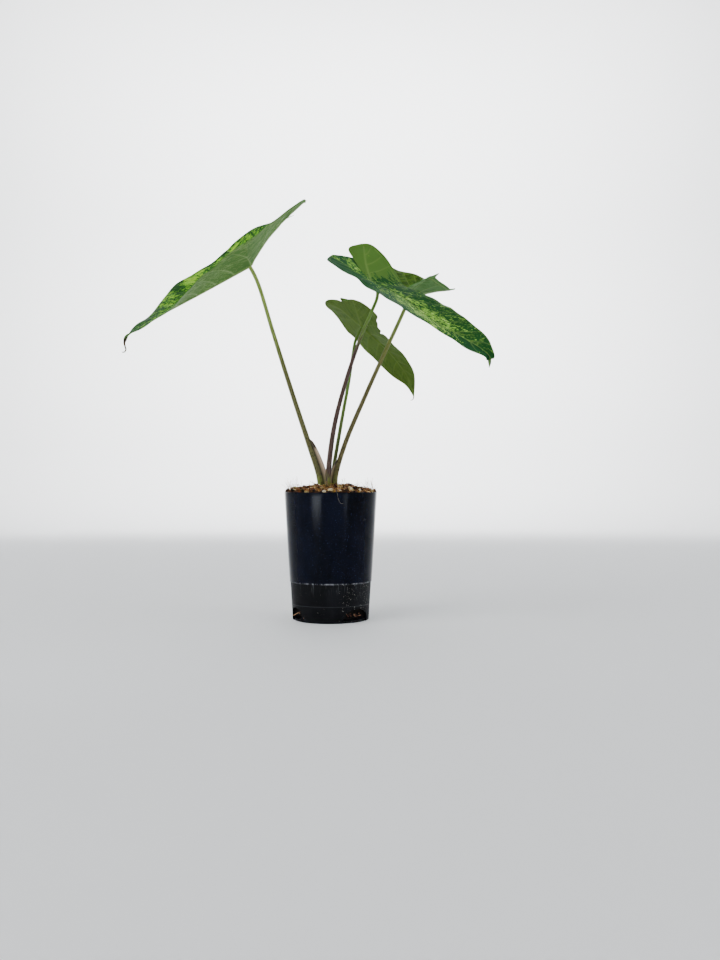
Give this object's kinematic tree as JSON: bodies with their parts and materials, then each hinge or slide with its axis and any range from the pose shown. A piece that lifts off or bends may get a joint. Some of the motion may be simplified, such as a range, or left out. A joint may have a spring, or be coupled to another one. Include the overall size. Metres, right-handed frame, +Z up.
{
  "type": "potted caladium",
  "caption": "Young caladium with mottled arrow-shaped blades on slender stalks, rooted in bark potting mix in a tapered black nursery pot.",
  "frame": {"origin": "middle of the pot's flat foot, on the surface that the pot stands on", "axes": "+Z up along the pot's axis; +X to the right and +Y away from someone who faces the plant as in the picture"},
  "size_m": [0.2829, 0.1794, 0.3338],
  "materials": {
    "pot_plastic": "semi-gloss black, dusty below the step",
    "bark_mix": "coarse bark, coir fibre and perlite, matt",
    "corm_skin": "rough brown skin, matt",
    "leaf_stalk": "smooth, green above and olive brown below, satin",
    "leaf_blade": "mottled dark green, mid green and lime above, grey green below, satin",
    "young_leaf_blade": "plain olive green, satin"
  },
  "bodies": {
    "root": {"pot": "pot_plastic", "potting_mix": "bark_mix", "corm": "corm_skin", "stalk_left": "leaf_stalk", "stalk_right": "leaf_stalk", "stalk_low": "leaf_stalk", "stalk_back": "leaf_stalk", "leaf_left": "leaf_blade", "leaf_right": "leaf_blade", "leaf_low": "young_leaf_blade", "leaf_back": "leaf_blade"}
  },
  "joints": []
}
